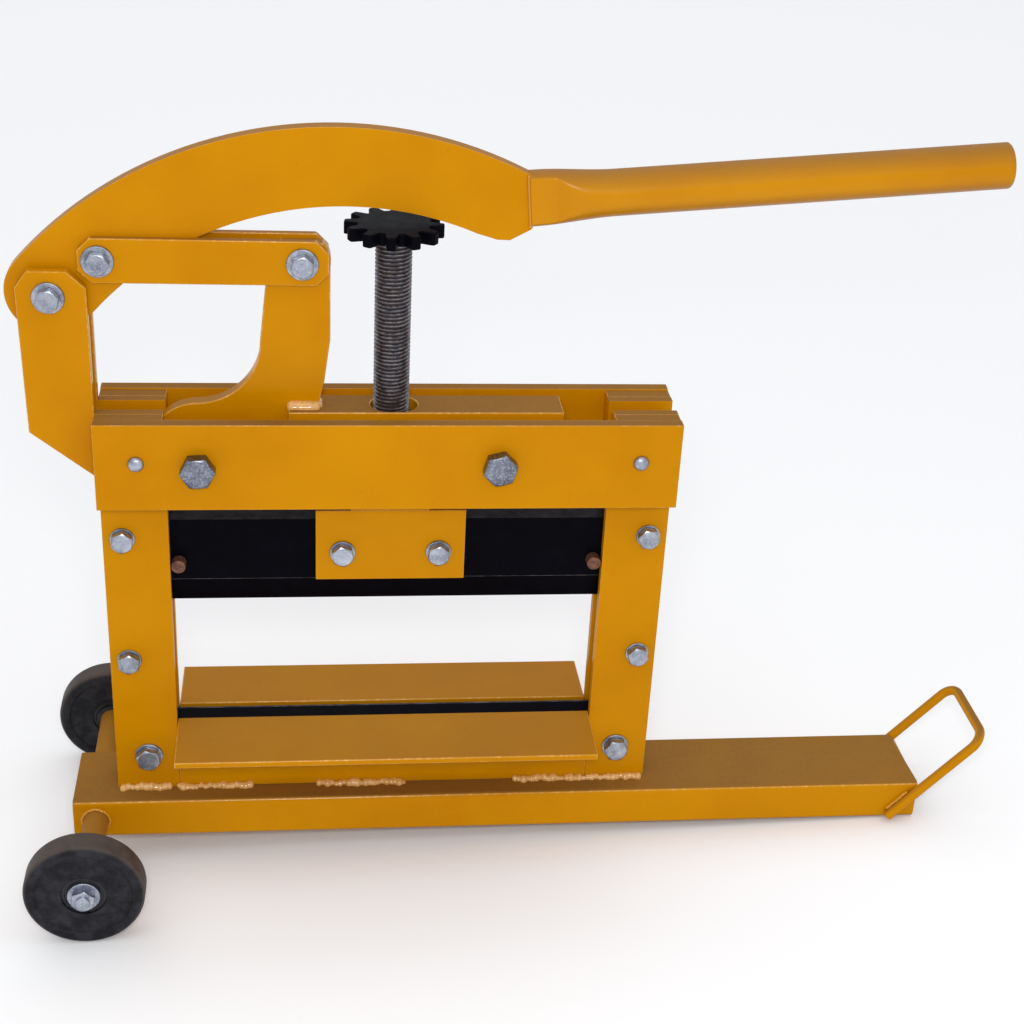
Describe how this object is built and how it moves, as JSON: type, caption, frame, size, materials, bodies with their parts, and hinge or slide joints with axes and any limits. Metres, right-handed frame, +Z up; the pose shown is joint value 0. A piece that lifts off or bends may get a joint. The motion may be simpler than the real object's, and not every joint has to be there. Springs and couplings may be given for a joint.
{
  "type": "masonry block splitter",
  "caption": "Wheeled lever splitter for paving and masonry blocks: screw-set upper blade guided between uprights, fixed lower blade between sloping tables, curved hand lever on a linkage.",
  "frame": {"origin": "centre of the footprint on the floor, midway between the two wheels and midway between the wheels' far side and the carry handle's end", "axes": "+Z up from the floor, +X along the beam towards the carry handle and the lever's grip, -Y towards the operator"},
  "size_m": [0.7862, 0.2786, 0.6027],
  "materials": {
    "yellow_enamel": "gloss enamel",
    "zinc_plate": "bright zinc",
    "black_blade_steel": "blackened",
    "oiled_thread_steel": "oiled",
    "bare_pin_steel": "lightly rusted",
    "wheel_rubber": "matt",
    "hub_plastic": "matt"
  },
  "bodies": {
    "frame": {"base_beam": "yellow_enamel", "axle": "yellow_enamel", "wheel_bolts": "zinc_plate", "carry_handle": "yellow_enamel", "left_front_bar": "yellow_enamel", "left_rear_bar": "yellow_enamel", "right_front_bar": "yellow_enamel", "right_rear_bar": "yellow_enamel", "upright_spacers": "yellow_enamel", "crosshead_packers": "yellow_enamel", "front_cross_plate": "yellow_enamel", "rear_cross_plate": "yellow_enamel", "front_post_plate": "yellow_enamel", "rear_post_plate": "yellow_enamel", "front_wall": "yellow_enamel", "rear_wall": "yellow_enamel", "lower_blade": "black_blade_steel", "front_table": "yellow_enamel", "rear_table": "yellow_enamel", "foot_welds": "yellow_enamel", "upright_bolts": "zinc_plate", "base_bolts": "zinc_plate", "packer_screws": "zinc_plate", "pivot_bolt": "zinc_plate", "stop_bolt": "zinc_plate", "stop_sleeve": "zinc_plate", "lever_bolt": "zinc_plate", "lever_spacers": "zinc_plate"},
    "lever": {"lever_plate": "yellow_enamel", "handle_tube": "yellow_enamel"},
    "link": {"front_link": "yellow_enamel", "rear_link": "yellow_enamel", "link_bolts": "zinc_plate"},
    "rocking_beam": {"arm_plate": "yellow_enamel", "front_cheek": "yellow_enamel", "rear_cheek": "yellow_enamel", "top_plate": "yellow_enamel", "beam_rib": "yellow_enamel", "beam_spacers": "yellow_enamel", "pivot_bush": "oiled_thread_steel"},
    "nut": {"nut_block": "oiled_thread_steel"},
    "carriage": {"upper_blade": "black_blade_steel", "front_clamp": "yellow_enamel", "rear_clamp": "yellow_enamel", "clamp_bolts": "zinc_plate", "guide_pins": "bare_pin_steel", "saddle": "yellow_enamel"},
    "screw": {"screw": "oiled_thread_steel", "star_wheel": "black_blade_steel", "screw_collar": "oiled_thread_steel"},
    "front_wheel": {"front_tyre": "wheel_rubber", "front_hub": "hub_plastic"},
    "rear_wheel": {"rear_tyre": "wheel_rubber", "rear_hub": "hub_plastic"}
  },
  "joints": [
    {"name": "lever_swing", "type": "hinge", "parent": "frame", "child": "lever", "pos_m": [-0.33798, 0, 0.48816], "axis": [0, -1, 0], "range_deg": [0, 36]},
    {"name": "link_swing", "type": "hinge", "parent": "lever", "child": "link", "pos_m": [-0.30183, 0, 0.51256], "axis": [0, -1, 0], "range_deg": [-39.5, 0.2]},
    {"name": "beam_rock", "type": "hinge", "parent": "frame", "child": "rocking_beam", "pos_m": [-0.24208, 0, 0.36021], "axis": [0, -1, 0], "range_deg": [-0.1, 8.1]},
    {"name": "nut_lift", "type": "slide", "parent": "frame", "child": "nut", "axis": [0.0421, 0, 0.9991], "range_m": [-0.0002, 0.0204]},
    {"name": "carriage_slide", "type": "slide", "parent": "nut", "child": "carriage", "axis": [-0.0421, 0, -0.9991], "range_m": [-0.0002, 0.0964]},
    {"name": "screw_turn", "type": "hinge", "parent": "carriage", "child": "screw", "pos_m": [-0.09991, 0, 0.35422], "axis": [-0.0421, 0, -0.9991], "range_deg": [0, 11520]},
    {"name": "front_wheel_spin", "type": "hinge", "parent": "frame", "child": "front_wheel", "pos_m": [-0.3471, -0.12, 0.046], "axis": [0, 1, 0], "continuous": true},
    {"name": "rear_wheel_spin", "type": "hinge", "parent": "frame", "child": "rear_wheel", "pos_m": [-0.3471, 0.12, 0.046], "axis": [0, 1, 0], "continuous": true}
  ],
  "couplings": [
    {"joint": "link_swing", "follows": "lever_swing", "ratio": -1.0826},
    {"joint": "beam_rock", "follows": "lever_swing", "ratio": 0.22136},
    {"joint": "nut_lift", "follows": "lever_swing", "m_per_rad": 0.03159},
    {"joint": "carriage_slide", "follows": "screw_turn", "m_per_rad": 0.00047746}
  ]
}
